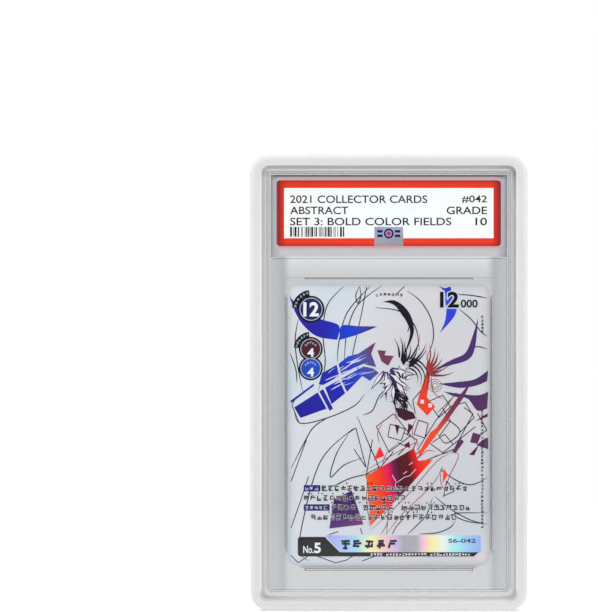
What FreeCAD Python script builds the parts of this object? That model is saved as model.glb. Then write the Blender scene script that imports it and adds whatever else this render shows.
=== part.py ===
"""A graded card slab: a card and its label welded inside a clear two-part holder, in an elastic bumper guard.

Frame: millimetres, +Z up, +X to the right seen from the front, and the front faces -Y.
The origin is the middle of the guard's bottom edge, which the object stands on.
"""

import FreeCAD
import Part

import os

OUT = "parts"

# Driving dimensions: the card, and the sealed holder that is welded round it
CARD_W, CARD_H, CARD_T, CARD_R = 63.0, 88.0, 0.32, 3.0
SLAB_W, SLAB_H, SLAB_T, SLAB_R = 80.6, 136.5, 6.4, 2.5

# Bumper guard
GUARD_WALL = 3.0            # slab edge to the guard's outside, with the pocket clearance in it
GUARD_T = 8.8
GUARD_R = 6.0
GUARD_EDGE_R = 1.2          # rounding of the outer edges
POCKET_GAP = 0.1            # all round, between the slab's sides and the pocket
LIP_GAP = 0.05              # between the slab's faces and the lips
FRONT_LIP = 3.6             # width of the band seen from the front
REAR_LIP = 4.65             # width of the band seen from behind, bevel included
REAR_FLAT = 2.9             # flat part of the rear band, outside the bevel
REAR_LIP_R = 1.4            # corner radius of the rear opening
REAR_LIP_EDGE_T = 0.5       # thickness left at the rear lip's inner edge
LIP_EDGE_R = 0.35

# Shells: the front one has a raised stacking rim, and the rear one a plateau that nests in it
STACK_H = 0.5
RIM_W, RIM_BEVEL = 2.7, 0.7
PLATEAU_INSET, PLATEAU_BEVEL = 2.9, 0.5
SHELL_EDGE_R = 0.45
LEAST_R = 0.3               # corner radius of an outline that is moved a long way in
FLANGE_W = 3.4
FLANGE_DRAFT = 0.08         # how much wider the flange is at its root
PLATE_T = 1.5               # clear plate, measured from the stacking recess to the inner cavity
TONGUE_IN, TONGUE_W, TONGUE_H = 1.3, 0.8, 0.5
GROOVE_GAP = 0.1
WELD_GAP = 0.02             # film between the two flanges, beside the welded tongue
BEAD_IN, BEAD_W, BEAD_H = 3.85, 0.5, 0.25    # low bead along the flange, which stiffens the rear plate
BEAD_R, BEAD_DRAFT = 0.6, 0.17
INNER_GAP = 0.2             # between the divider and what it nearly touches

# Card well: pads carry the card's faces, ribs its edges, and the corners are left free
WELL_DEPTH = 0.6
WELL_SIDE_GAP, WELL_END_GAP = 0.15, 1.13
RIB_W, TOP_RIB_W, RIB_END_GAP = 0.95, 0.5, 0.05
SIDE_RIB_DRAFT, LOW_RIB_DRAFT, TOP_RIB_DRAFT = 0.44, 0.3, 0.22    # side and top ribs come nearly to an edge
SIDE_RIB_L, END_RIB_L = 79.2, 52.6
CARD_MID_Z = 58.0           # above the guard's bottom
WELL_LIFT = 0.33            # the well's middle above the card's
PAD_DRAFT = 0.08            # how far a pad's sides slope out on their way to the plate
CARD_PAD_R, LABEL_PAD_R = 0.3, 0.8

# Label window
LABEL_W, LABEL_H, LABEL_LEAF_T, LABEL_R = 69.0, 20.5, 0.15, 0.9
REAR_LEAF_W = 70.2
LABEL_MID_Z = 124.1
LABEL_FRAME_GAP, LABEL_FRAME_T, LABEL_FRAME_DRAFT = 0.4, 0.8, 0.03
LABEL_BEVEL_SHARE = 0.45    # of the pad's height, where the bevel over it starts
DIVIDER_Z, DIVIDER_T, DIVIDER_END_GAP, DIVIDER_DRAFT = 110.2, 0.9, 1.2, 0.04
LUG_W, LUG_H, LUG_D, LUG_DRAFT = 1.4, 0.62, 0.3, 0.26    # of the lugs, and of the dimples at the foot
DIMPLE_Z = 5.6

# Foil pieces stuck on the label and stamped on the card
FOIL_T = 0.03
FRONT_SEAL_W, FRONT_SEAL_H, FRONT_SEAL_R = 9.0, 6.0, 0.2
SHIELD_W, SHIELD_SIDE_H, SHIELD_H = 14.0, 9.4, 11.6
STRIP_X0, STRIP_X1, STRIP_TOP_Z, STRIP_H = 11.6, 60.3, 23.4, 5.3    # from the card's left edge and z = 0
STRIP_SLANT = 4.9
STRIP_R = 0.9

HALF_T = SLAB_T / 2
FACE_Y = HALF_T - STACK_H            # clear face inside the stacking rim, and the rear shell's rebate
CAVITY_Y = FACE_Y - PLATE_T          # inner face of either plate
PAD_Y = WELL_DEPTH / 2
LABEL_FRAME = LABEL_FRAME_GAP + LABEL_FRAME_T
LABEL_PAD_W, LABEL_PAD_H = REAR_LEAF_W + 2 * LABEL_FRAME, LABEL_H + 2 * LABEL_FRAME
FLANGE_X = SLAB_W / 2 - FLANGE_W     # the flange's inner side
GUARD_W, GUARD_H = SLAB_W + 2 * GUARD_WALL, SLAB_H + 2 * GUARD_WALL
MID_Z = GUARD_H / 2
WELL_W, WELL_H = CARD_W + 2 * WELL_SIDE_GAP, CARD_H + 2 * WELL_END_GAP
WELL_MID_Z = CARD_MID_Z + WELL_LIFT
SLAB_SIZE = (SLAB_W, SLAB_H, SLAB_R)
NEAR = 1e-4                          # for telling whether an edge lies in a plane


# ---------------------------------------------------------------- shapes that several parts use

def radians(degrees):
    return FreeCAD.Units.Quantity(f"{degrees} deg").getValueAs("rad").Value


def outline(width, height, radius, y, mid_z):
    """A closed rounded rectangle in the plane of that y, centred on x = 0."""
    half_w, half_h = width / 2, height / 2
    corners = [(half_w, half_h, 0), (-half_w, half_h, 90), (-half_w, -half_h, 180), (half_w, -half_h, 270)]
    arcs = []
    for x, z, start in corners:
        centre = FreeCAD.Vector(x - radius * (1 if x > 0 else -1), y, mid_z + z - radius * (1 if z > 0 else -1))
        # The circle's normal is -Y, so that its angles turn from +X towards +Z.
        circle = Part.Circle(centre, FreeCAD.Vector(0, -1, 0), radius)
        circle.XAxis = FreeCAD.Vector(1, 0, 0)
        arcs.append(Part.ArcOfCircle(circle, radians(start), radians(start + 90)).toShape())
    edges = []
    for arc, following in zip(arcs, arcs[1:] + arcs[:1]):
        edges.append(arc)
        edges.append(Part.makeLine(arc.Vertexes[-1].Point, following.Vertexes[0].Point))
    return Part.Wire(edges)


def prism(width, height, radius, y_from, y_to, mid_z=MID_Z):
    face = Part.Face(outline(width, height, radius, y_from, mid_z))
    return face.extrude(FreeCAD.Vector(0, y_to - y_from, 0))


def taper(size_from, size_to, y_from, y_to, mid_z=MID_Z):
    """A solid between two rounded rectangles, each given as (width, height, radius)."""
    wires = [outline(*size_from, y_from, mid_z), outline(*size_to, y_to, mid_z)]
    return Part.makeLoft(wires, True, True)


def rib(x_from, x_to, z_from, z_to, y_root, y_tip, draft):
    """A straight rib with that size at its root, whose sides lean in by the draft towards its tip."""
    wires = []
    for y, lean in ((y_root, 0), (y_tip, draft)):
        corners = [(x_from + lean, z_from + lean), (x_to - lean, z_from + lean),
                   (x_to - lean, z_to - lean), (x_from + lean, z_to - lean)]
        points = [FreeCAD.Vector(x, y, z) for x, z in corners]
        wires.append(Part.makePolygon(points + points[:1]))
    return Part.makeLoft(wires, True, True)


def inset(width, height, radius, distance):
    """A rounded rectangle's size, moved inwards by a distance."""
    return width - 2 * distance, height - 2 * distance, max(radius - distance, LEAST_R)


def ring(distance, width, y_root, y_tip, size=SLAB_SIZE, mid_z=MID_Z, outer_draft=0.0, inner_draft=0.0):
    """A wall along a rounded rectangle, from a distance inside it. Its sides may lean in towards its tip."""
    outside = taper(inset(*size, distance), inset(*size, distance + outer_draft), y_root, y_tip, mid_z)
    inner = distance + width
    inside = taper(inset(*size, inner), inset(*size, inner - inner_draft), y_root, y_tip, mid_z)
    return outside.cut(inside)


def in_plane(shape, y, inside=None):
    """The edges of a shape that lie in the plane of that y, and within a width if one is given."""
    found = []
    for edge in shape.Edges:
        box = edge.BoundBox
        flat = abs(box.YMin - y) < NEAR and abs(box.YMax - y) < NEAR
        if flat and (inside is None or max(abs(box.XMin), abs(box.XMax)) < inside / 2 + NEAR):
            found.append(edge)
    return found


def extruded(points, y_from, y_to):
    """A flat piece from (x, z) points."""
    at = [FreeCAD.Vector(x, y_from, z) for x, z in points]
    return Part.Face(Part.makePolygon(at + at[:1])).extrude(FreeCAD.Vector(0, y_to - y_from, 0))


# ---------------------------------------------------------------- the guard

def bumper_guard():
    """An elastic frame: a pocket for the slab between a narrow front lip and a wider, bevelled rear one."""
    half = GUARD_T / 2
    body = prism(GUARD_W, GUARD_H, GUARD_R, -half, half)
    body = body.makeFillet(GUARD_EDGE_R, in_plane(body, -half) + in_plane(body, half))

    pocket_front, pocket_rear = -HALF_T - LIP_GAP, FACE_Y + LIP_GAP
    pocket = inset(*SLAB_SIZE, -POCKET_GAP)
    front_opening = inset(GUARD_W, GUARD_H, GUARD_R, FRONT_LIP)
    rear_opening = (GUARD_W - 2 * REAR_LIP, GUARD_H - 2 * REAR_LIP, REAR_LIP_R)
    rear_bevel = inset(GUARD_W, GUARD_H, GUARD_R, REAR_FLAT)
    bevel_from = pocket_rear + REAR_LIP_EDGE_T

    body = body.cut(prism(*pocket, pocket_front, pocket_rear))
    body = body.cut(prism(*front_opening, -half, pocket_front))
    body = body.cut(prism(*rear_opening, pocket_rear, bevel_from))
    body = body.cut(taper(rear_opening, rear_bevel, bevel_from, half))
    return body.makeFillet(LIP_EDGE_R, in_plane(body, -half, front_opening[0]))


# ---------------------------------------------------------------- the welded holder

def pads(y_root, y_tip):
    """The thick parts of a plate that reach in to the card and to the label, and the bevel over the label's."""
    card = (WELL_W + 2 * RIB_W, WELL_H + RIB_W + TOP_RIB_W, CARD_PAD_R)
    card_pad_mid = WELL_MID_Z - (RIB_W - TOP_RIB_W) / 2
    label = (LABEL_PAD_W, LABEL_PAD_H, LABEL_PAD_R)
    return [taper(inset(*card, -PAD_DRAFT), card, y_root, y_tip, card_pad_mid),
            taper(inset(*label, -PAD_DRAFT), label, y_root, y_tip, LABEL_MID_Z),
            label_bevel(y_root, y_tip)]


def label_bevel(y_root, y_tip):
    """A shallow bevel that runs up from the label pad's side to the foot of the flange above it."""
    reach = LABEL_PAD_W / 2 - LABEL_PAD_R
    pad_top = LABEL_MID_Z + LABEL_PAD_H / 2
    flange_low = GUARD_WALL + SLAB_H - FLANGE_W
    y_side = y_root + (y_tip - y_root) * LABEL_BEVEL_SHARE
    section = [(y_side, pad_top - LABEL_PAD_R), (y_side, pad_top), (y_root, flange_low),
               (y_root, pad_top - LABEL_PAD_R)]
    at = [FreeCAD.Vector(-reach, y, z) for y, z in section]
    return Part.Face(Part.makePolygon(at + at[:1])).extrude(FreeCAD.Vector(2 * reach, 0, 0))


def well_ribs(y_root, y_tip):
    """Four straight ribs round the card's edges that stop short of its corners."""
    half_w, half_h = WELL_W / 2, WELL_H / 2
    side, end = SIDE_RIB_L / 2, END_RIB_L / 2
    low, high = WELL_MID_Z - half_h, WELL_MID_Z + half_h
    sides = [(-half_w - RIB_W, -half_w, CARD_MID_Z - side, CARD_MID_Z + side),
             (half_w, half_w + RIB_W, CARD_MID_Z - side, CARD_MID_Z + side)]
    return [*(rib(*place, y_root, y_tip, SIDE_RIB_DRAFT) for place in sides),
            rib(-end, end, low - RIB_W, low, y_root, y_tip, LOW_RIB_DRAFT),
            rib(-end, end, high, high + TOP_RIB_W, y_root, y_tip, TOP_RIB_DRAFT)]


def label_frame(y_root, y_tip):
    """A low wall round the label."""
    size = (LABEL_PAD_W, LABEL_PAD_H, LABEL_PAD_R)
    return ring(0, LABEL_FRAME_T, y_root, y_tip, size, LABEL_MID_Z, LABEL_FRAME_DRAFT, LABEL_FRAME_DRAFT)


def divider(y_root, y_tip):
    """The rib between the label window and the card well."""
    reach = FLANGE_X - DIVIDER_END_GAP
    return rib(-reach, reach, DIVIDER_Z, DIVIDER_Z + DIVIDER_T, y_root, y_tip, DIVIDER_DRAFT)


def lugs(low, y_root, y_tip):
    """A pair of small roof-shaped lugs against the flange's inner side. Cut away, they make dimples."""
    return [rib(left, left + LUG_W, low, low + LUG_H, y_root, y_tip, LUG_DRAFT)
            for left in (-FLANGE_X, FLANGE_X - LUG_W)]


def front_shell():
    body = prism(*SLAB_SIZE, -HALF_T, -CAVITY_Y)
    body = body.makeFillet(SHELL_EDGE_R, in_plane(body, -HALF_T))
    recess_top, recess_floor = inset(*SLAB_SIZE, RIM_W), inset(*SLAB_SIZE, RIM_W + RIM_BEVEL)
    body = body.cut(taper(recess_top, recess_floor, -HALF_T, -FACE_Y))

    flange = ring(0, FLANGE_W, -CAVITY_Y, 0, inner_draft=FLANGE_DRAFT)
    tongue = ring(TONGUE_IN, TONGUE_W, 0, TONGUE_H)
    reach = PAD_Y - RIB_END_GAP
    added = [flange, tongue, divider(-CAVITY_Y, CAVITY_Y - INNER_GAP), label_frame(-PAD_Y, reach)]
    added += pads(-CAVITY_Y, -PAD_Y) + well_ribs(-PAD_Y, reach) + lugs(DIVIDER_Z, -CAVITY_Y, LUG_D - CAVITY_Y)
    return body.fuse(added).removeSplitter()


def bead(y_root, y_tip):
    """A low bead round the card well that stops just under the divider."""
    low, high = GUARD_WALL + BEAD_IN, DIVIDER_Z - INNER_GAP
    size = (SLAB_W - 2 * BEAD_IN, high - low, BEAD_R)
    return ring(0, BEAD_W, y_root, y_tip, size, (low + high) / 2, BEAD_DRAFT, BEAD_DRAFT)


def rear_shell():
    body = prism(*SLAB_SIZE, CAVITY_Y, FACE_Y)
    body = body.makeFillet(SHELL_EDGE_R, in_plane(body, FACE_Y))
    plateau_foot, plateau_top = inset(*SLAB_SIZE, PLATEAU_INSET), inset(*SLAB_SIZE, PLATEAU_INSET + PLATEAU_BEVEL)
    plateau = taper(plateau_foot, plateau_top, FACE_Y, HALF_T)

    flange = ring(0, FLANGE_W, CAVITY_Y, WELD_GAP, inner_draft=FLANGE_DRAFT)
    groove_w = TONGUE_W + 2 * GROOVE_GAP
    flange = flange.cut(ring(TONGUE_IN - GROOVE_GAP, groove_w, 0, TONGUE_H + GROOVE_GAP))
    flange = flange.cut(lugs(DIMPLE_Z, WELD_GAP, WELD_GAP + LUG_D))
    added = [plateau, flange, bead(CAVITY_Y, CAVITY_Y - BEAD_H)] + pads(CAVITY_Y, PAD_Y)
    return body.fuse(added).removeSplitter()


# ---------------------------------------------------------------- what the holder keeps

def trading_card():
    return prism(CARD_W, CARD_H, CARD_R, -CARD_T / 2, CARD_T / 2, CARD_MID_Z)


def card_foil_strip():
    """The stamped foil name bar low on the card's face: slanted at the left, rounded at the right."""
    left, right = STRIP_X0 - CARD_W / 2, STRIP_X1 - CARD_W / 2
    low = STRIP_TOP_Z - STRIP_H
    face = -CARD_T / 2
    points = [(left, STRIP_TOP_Z), (right, STRIP_TOP_Z), (right, low), (left + STRIP_SLANT, low)]
    body = extruded(points, face - FOIL_T, face)
    corner = [edge for edge in body.Edges
              if edge.BoundBox.XMin > right - NEAR and edge.BoundBox.ZMin > STRIP_TOP_Z - NEAR]
    return body.makeFillet(STRIP_R, corner)


def front_label():
    return prism(LABEL_W, LABEL_H, LABEL_R, -LABEL_LEAF_T, 0, LABEL_MID_Z)


def rear_label():
    return prism(REAR_LEAF_W, LABEL_H, LABEL_R, 0, LABEL_LEAF_T, LABEL_MID_Z)


def front_foil_seal():
    """A small foil patch on the label's lower edge."""
    face = -LABEL_LEAF_T
    mid_z = LABEL_MID_Z - LABEL_H / 2 + FRONT_SEAL_H / 2
    return prism(FRONT_SEAL_W, FRONT_SEAL_H, FRONT_SEAL_R, face - FOIL_T, face, mid_z)


def rear_hologram_seal():
    """A shield that hangs from the label's top edge and ends in a shallow point."""
    top = LABEL_MID_Z + LABEL_H / 2
    half = SHIELD_W / 2
    points = [(-half, top), (half, top), (half, top - SHIELD_SIDE_H), (0, top - SHIELD_H),
              (-half, top - SHIELD_SIDE_H)]
    return extruded(points, LABEL_LEAF_T, LABEL_LEAF_T + FOIL_T)


PIECES = (bumper_guard, front_shell, rear_shell, trading_card, card_foil_strip,
          front_label, rear_label, front_foil_seal, rear_hologram_seal)


def main():
    os.makedirs(OUT, exist_ok=True)
    for piece in PIECES:
        solid = piece()
        print(f"{piece.__name__:20s} solids {len(solid.Solids)} valid {solid.isValid()} "
              f"volume {solid.Volume / 1000:8.3f} cm3")
        solid.exportStep(os.path.join(OUT, piece.__name__ + ".step"))


main()
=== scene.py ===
"""Looks for the graded card slab: an elastic guard, two clear shells, a printed card and two label leaves.

Print is made of thin flat plates on the CAD surfaces. A place on a printed face is (u, v), from its top left
corner, and an outline's points are (x, z) in the frame, all in millimetres; Blender's own units are metres.
A colour is a grey level, a display colour of three numbers up to 255, or a linear colour of four numbers.
"""

import math
import random

import bmesh
import bpy
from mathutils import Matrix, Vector


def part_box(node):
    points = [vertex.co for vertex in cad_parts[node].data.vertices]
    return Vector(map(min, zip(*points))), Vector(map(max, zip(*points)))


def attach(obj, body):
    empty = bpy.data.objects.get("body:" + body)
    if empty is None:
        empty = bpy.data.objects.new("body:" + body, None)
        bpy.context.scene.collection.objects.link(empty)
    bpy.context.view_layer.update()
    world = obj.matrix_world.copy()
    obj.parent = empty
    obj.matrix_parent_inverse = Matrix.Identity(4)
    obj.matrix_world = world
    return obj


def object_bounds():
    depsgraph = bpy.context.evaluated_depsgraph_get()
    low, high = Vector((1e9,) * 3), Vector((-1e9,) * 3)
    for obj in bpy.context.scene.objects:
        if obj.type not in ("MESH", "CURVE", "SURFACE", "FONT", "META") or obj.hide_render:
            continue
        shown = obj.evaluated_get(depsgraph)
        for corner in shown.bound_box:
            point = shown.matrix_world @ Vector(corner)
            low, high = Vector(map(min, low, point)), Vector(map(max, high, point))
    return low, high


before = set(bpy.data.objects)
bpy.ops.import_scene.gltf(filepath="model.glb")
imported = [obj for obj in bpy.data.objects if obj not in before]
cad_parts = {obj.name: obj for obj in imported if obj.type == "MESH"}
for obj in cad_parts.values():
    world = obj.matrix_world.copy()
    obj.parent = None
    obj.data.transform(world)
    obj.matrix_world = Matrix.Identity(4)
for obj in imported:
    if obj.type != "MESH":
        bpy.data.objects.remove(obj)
cad_low, cad_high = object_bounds()

MM = 0.001
FRONT, REAR = -1, 1          # which way a printed face looks along Y
INK_T = 0.004                # thickness of one layer of print
INK_STEP = 0.008             # from one layer to the next
INK_LIFT = 0.0005            # between neighbours in one layer, so that crossing marks share no face
INK_LIFTS = 7
TEXT = 7                     # the card's first layer of print over its art
RIM = 3.0                    # width of the rear shell's rim
CARD_R, LABEL_R, SLAB_R = 3.0, 0.9, 2.5


# ---------------------------------------------------------------- places on the printed faces

def box_mm(name):
    """The low and high corners of a node's box, in millimetres."""
    return [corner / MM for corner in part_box(name)]


class Face:
    """A printed face of a CAD node: its box, the way it looks along Y, and the name of a slot, which is not
    used.
    """

    def __init__(self, name, side, slot):
        self.low, self.high = box_mm(name)
        self.wide, self.tall = self.high.x - self.low.x, self.high.z - self.low.z
        self.side, self.slot = side, slot
        self.surface = self.low.y if side == FRONT else self.high.y

    def at(self, u, v):
        """(x, z) of a point, from the face's top left corner as one looks at it."""
        x = self.low.x + u if self.side == FRONT else self.high.x - u
        return x, self.high.z - v

    def points(self, pairs):
        """An outline's (x, z) points from (u, v) pairs."""
        return [self.at(*pair) for pair in pairs]


CARD = Face("trading_card", FRONT, "card_stock")
CARD_BACK = Face("trading_card", REAR, "card_stock")
LABEL = Face("front_label", FRONT, "label_red")
LEAF = Face("rear_label", REAR, "label_purple")
STRIP = Face("card_foil_strip", FRONT, "rainbow_foil")
SEAL = Face("front_foil_seal", FRONT, "silver_foil")
SHIELD = Face("rear_hologram_seal", REAR, "silver_foil")
SLAB_LOW, SLAB_HIGH = box_mm("rear_shell")
DIVIDER_Z = LABEL.low.z - 3.3       # foot of the label window, where the rear shell's painted shade changes


# ---------------------------------------------------------------- colours and node helpers

def as_colour(value):
    """A shader's colour, from any of the three kinds of colour in this script."""
    if isinstance(value, (int, float)):
        return (value, value, value, 1.0)
    if len(value) == 4:
        return value
    linear = []
    for channel in value:
        share = channel / 255
        linear.append(share / 12.92 if share <= 0.04045 else ((share + 0.055) / 1.055) ** 2.4)
    return (*linear, 1.0)


def put(tree, socket, value):
    """Links a socket to another one, or sets it to a number or a colour."""
    if isinstance(value, bpy.types.NodeSocket):
        tree.links.new(value, socket)
    else:
        socket.default_value = as_colour(value) if socket.type == "RGBA" else value


def node(tree, kind, values=None, **settings):
    """A shader node with its settings made and its inputs set or linked."""
    made = tree.nodes.new("ShaderNode" + kind)
    for name, value in settings.items():
        setattr(made, name, value)
    for name, value in (values or {}).items():
        put(tree, made.inputs[name], value)
    return made


def new_material(name, **constants):
    """A material with one Principled shader, whose constants are set on its own sockets."""
    material = bpy.data.materials.new(name)
    material.use_nodes = True
    tree = material.node_tree
    tree.nodes.clear()
    shader = node(tree, "BsdfPrincipled")
    for socket, value in constants.items():
        shader.inputs[socket.replace("_", " ")].default_value = value
    output = node(tree, "OutputMaterial", {"Surface": shader.outputs["BSDF"]})
    return material, tree, shader, output


def ramp(tree, factor, stops):
    """A colour ramp. Stops are (place, colour)."""
    made = node(tree, "ValToRGB", {"Fac": factor})
    elements = made.color_ramp.elements
    for _ in stops[2:]:
        elements.new(0.5)
    for element, (place, colour) in zip(elements, sorted(stops, key=lambda stop: stop[0])):
        element.position = place
        element.color = as_colour(colour)
    return made.outputs["Color"]


def spread(tree, value, low, high, to_low=0, to_high=1):
    """A value's range from low to high, mapped to another range and clamped."""
    values = {"Value": value, "From Min": low, "From Max": high, "To Min": to_low, "To Max": to_high}
    return node(tree, "MapRange", values).outputs["Result"]


def position(tree):
    """A point's place in the piece's own axes, in metres."""
    return node(tree, "TexCoord").outputs["Object"]


def axes(tree):
    """Sockets of a point's X, Y and Z, in millimetres."""
    scaled = node(tree, "VectorMath", {0: position(tree), "Scale": 1 / MM}, operation="SCALE")
    return node(tree, "SeparateXYZ", {"Vector": scaled.outputs["Vector"]}).outputs


def noise(tree, scale, detail=3.0, roughness=0.5, distortion=0.0):
    """Noise over the piece. Its scale is in features per metre."""
    values = {"Vector": position(tree), "Scale": scale, "Detail": detail, "Roughness": roughness,
              "Distortion": distortion}
    return node(tree, "TexNoise", values).outputs["Fac"]


def along(tree, start, end):
    """From 0 at the start point to 1 at the end point, both (x, z) in millimetres."""
    across, up = end[0] - start[0], end[1] - start[1]
    length = math.hypot(across, up) * MM
    values = {"Vector": position(tree), "Location": (start[0] * MM, 0, start[1] * MM),
              "Rotation": (0, -math.atan2(up, across), 0), "Scale": (length, length, length)}
    mapping = node(tree, "Mapping", values, vector_type="TEXTURE")
    return node(tree, "TexGradient", {"Vector": mapping.outputs["Vector"]}).outputs["Fac"]


def mix(tree, factor, first, second, blend="MIX"):
    """Two colours mixed. A Mix node has a hidden socket of each name for every data type."""
    made = node(tree, "Mix", data_type="RGBA", blend_type=blend)
    for name, kind, value in (("Factor", "VALUE", factor), ("A", "RGBA", first), ("B", "RGBA", second)):
        put(tree, next(s for s in made.inputs if s.name == name and s.type == kind), value)
    return next(s for s in made.outputs if s.type == "RGBA")


def times(tree, first, second):
    """Two colours multiplied."""
    return mix(tree, 1.0, first, second, "MULTIPLY")


def maths(tree, operation, first, second=0.0):
    return node(tree, "Math", {0: first, 1: second}, operation=operation).outputs["Value"]


def inwards(tree, low, high, radius):
    """How far a point is inside a rounded rectangle that is centred on x = 0, in millimetres."""
    place = axes(tree)
    height = maths(tree, "SUBTRACT", place["Z"], (low.z + high.z) / 2)
    x = maths(tree, "SUBTRACT", maths(tree, "ABSOLUTE", place["X"]), high.x - radius)
    z = maths(tree, "SUBTRACT", maths(tree, "ABSOLUTE", height), (high.z - low.z) / 2 - radius)
    corner = node(tree, "CombineXYZ", {"X": maths(tree, "MAXIMUM", x), "Z": maths(tree, "MAXIMUM", z)})
    beyond = node(tree, "VectorMath", {0: corner.outputs["Vector"]}, operation="LENGTH").outputs["Value"]
    within = maths(tree, "MINIMUM", maths(tree, "MAXIMUM", x, z))
    return maths(tree, "SUBTRACT", maths(tree, "SUBTRACT", radius, beyond), within)


def slab_inwards(tree):
    """How far a point is inside the slab's outline, in millimetres."""
    return inwards(tree, SLAB_LOW, SLAB_HIGH, SLAB_R)


def bump(tree, shader, height, strength, depth):
    """Bump from a height, with its depth in millimetres."""
    values = {"Height": height, "Strength": strength, "Distance": depth * MM}
    tree.links.new(node(tree, "Bump", values).outputs["Normal"], shader.inputs["Normal"])


# ---------------------------------------------------------------- materials of the moulded parts

def guard_elastomer():
    """Milky white elastomer: satin and finely grained, with painted shade along the front lip's inner edge at
    its foot.
    """
    material, tree, shader, _ = new_material(
        "guard_elastomer", Subsurface_Weight=1.0, Subsurface_Scale=4 * MM, Subsurface_Radius=(1, 1, 1),
        Specular_IOR_Level=0.25)
    base = ramp(tree, noise(tree, 45.0, 2.0), [(0.3, (196, 196, 196)), (0.7, (200, 200, 200))])
    place = axes(tree)
    lip = spread(tree, slab_inwards(tree), -0.3, 0.5)
    foot = spread(tree, place["Z"], SLAB_LOW.z + 4, SLAB_LOW.z + 2)
    front_foot = maths(tree, "MULTIPLY", foot, maths(tree, "LESS_THAN", place["Y"], -2))
    # painted shade: the front lip's inner edge is darkened near the slab's foot
    lip_foot_shade = mix(tree, maths(tree, "MULTIPLY", lip, front_foot), 1.0, 0.6)
    tree.links.new(times(tree, base, lip_foot_shade), shader.inputs["Base Color"])
    tree.links.new(spread(tree, noise(tree, 160.0, 4.0), 0, 1, 0.5, 0.64), shader.inputs["Roughness"])
    bump(tree, shader, noise(tree, 2600.0, 3.0), 0.35, 0.02)
    return material


def clear_polystyrene(name, tint_and_shade):
    """Clear moulded plastic with a clear pane's shadow. Its tint is a colour, or a function that makes one
    and paints shade and light into it.
    """
    material, tree, shader, output = new_material(name, Transmission_Weight=1.0, Roughness=0.0, IOR=1.54)
    put(tree, shader.inputs["Base Color"], tint_and_shade(tree) if callable(tint_and_shade) else tint_and_shade)
    bump(tree, shader, noise(tree, 60.0, 2.0), 0.03, 0.02)
    pane = node(tree, "BsdfTransparent", {"Color": (0.99, 0.992, 0.995, 1)})
    ray = node(tree, "LightPath").outputs["Is Shadow Ray"]
    mixed = node(tree, "MixShader", {0: ray, 1: shader.outputs["BSDF"], 2: pane.outputs["BSDF"]})
    tree.links.new(mixed.outputs["Shader"], output.inputs["Surface"])
    return material


def rear_painted_shade(tree):
    """Painted shade and painted light of what shows through the rear shell, as its colour: by its rim, round
    the card and round the label.
    """
    place = axes(tree)
    across, height = maths(tree, "ABSOLUTE", place["X"]), place["Z"]
    above = spread(tree, height, DIVIDER_Z - 0.4, DIVIDER_Z + 0.4)
    inside = mix(tree, above, well_painted_shade(tree, across, height), window_painted_shade(tree, across, height))
    rim = spread(tree, slab_inwards(tree), 0, RIM + 0.2)
    tint_and_shade = mix(tree, spread(tree, rim, 0.9, 1.0), rim_painted_shade(tree, rim, height), inside)
    # painted shade under the slab's top wall
    under_top = spread(tree, height, SLAB_HIGH.z - 4.2, SLAB_HIGH.z - 2.2)
    top_wall_shade = ramp(tree, under_top, [(0.0, 1.0), (0.3, 0.9), (0.8, 0.9), (1.0, 1.0)])
    return times(tree, tint_and_shade, top_wall_shade)


def well_painted_shade(tree, across, height):
    """Painted shade round the card: greyer beside it and over it, and darkest in the gap along its sides and
    foot, a painted shadow.
    """
    edge = CARD.wide / 2
    up = spread(tree, height, CARD.high.z, DIVIDER_Z)
    # painted light and shade: the colour changes with height between the card and the label window
    middle = ramp(tree, up, [(0.0, (0.76, 0.78, 0.795, 1)), (0.12, (0.73, 0.748, 0.765, 1)),
                             (0.7, (0.88, 0.9, 0.92, 1)), (1.0, (0.97, 0.985, 0.995, 1))])
    well = mix(tree, spread(tree, across, edge - 1, edge + 2), middle, (0.66, 0.68, 0.705, 1))
    beyond = spread(tree, across, edge, edge + 4)
    # painted shade beside the ribs
    rib_shade = ramp(tree, beyond, [(0.0, 1.0), (0.35, 0.86), (0.6, 0.93), (1.0, 1.0)])

    hump = [(0.0, 0.0), (0.05, 0.5), (0.3, 1.0), (0.65, 0.7), (1.0, 0.0)]
    beside = ramp(tree, spread(tree, across, edge, edge + 1.4), hump)
    under = ramp(tree, spread(tree, height, CARD.low.z, CARD.low.z - 1.2), hump)
    off_foot = spread(tree, height, CARD.low.z + 3, CARD.low.z + 5)
    off_top = spread(tree, height, CARD.high.z - 3, CARD.high.z - 5)
    off_side = spread(tree, across, edge - 3, edge - 5)
    beside = maths(tree, "MULTIPLY", beside, maths(tree, "MULTIPLY", off_foot, off_top))
    gap = maths(tree, "MAXIMUM", beside, maths(tree, "MULTIPLY", under, off_side))
    # painted shadow in the gap along the card's sides and foot
    return times(tree, times(tree, well, rib_shade), mix(tree, gap, 1.0, 0.58))


def window_painted_shade(tree, across, height):
    """Painted shade round the label: grey, darker beside it and over it, with a painted red glow of the label
    close to its edge.
    """
    edge = LABEL.wide / 2
    outside = spread(tree, across, edge - 1, edge + 1)
    window = mix(tree, outside, (0.74, 0.755, 0.79, 1), (0.56, 0.565, 0.62, 1))
    # painted shade over the label
    over = spread(tree, height, LABEL.high.z + 0.2, LABEL.high.z + 0.8)
    window = times(tree, window, mix(tree, over, 1.0, 0.78))
    from_label = spread(tree, inwards(tree, LABEL.low, LABEL.high, LABEL_R), -1.3, 0.7)
    # painted light: the label's red glow in the plastic close to its edge
    painted_red_glow = ramp(tree, from_label, [(0.0, 0), (0.6, 1), (0.7, 1), (1.0, 0)])
    red = mix(tree, outside, (0.86, 0.42, 0.44, 1), (0.84, 0.6, 0.62, 1))
    # painted shade near the rim's inner wall
    wall = spread(tree, slab_inwards(tree), RIM + 0.6, RIM + 1.4)
    return times(tree, mix(tree, painted_red_glow, window, red), mix(tree, wall, 0.7, 1.0))


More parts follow.
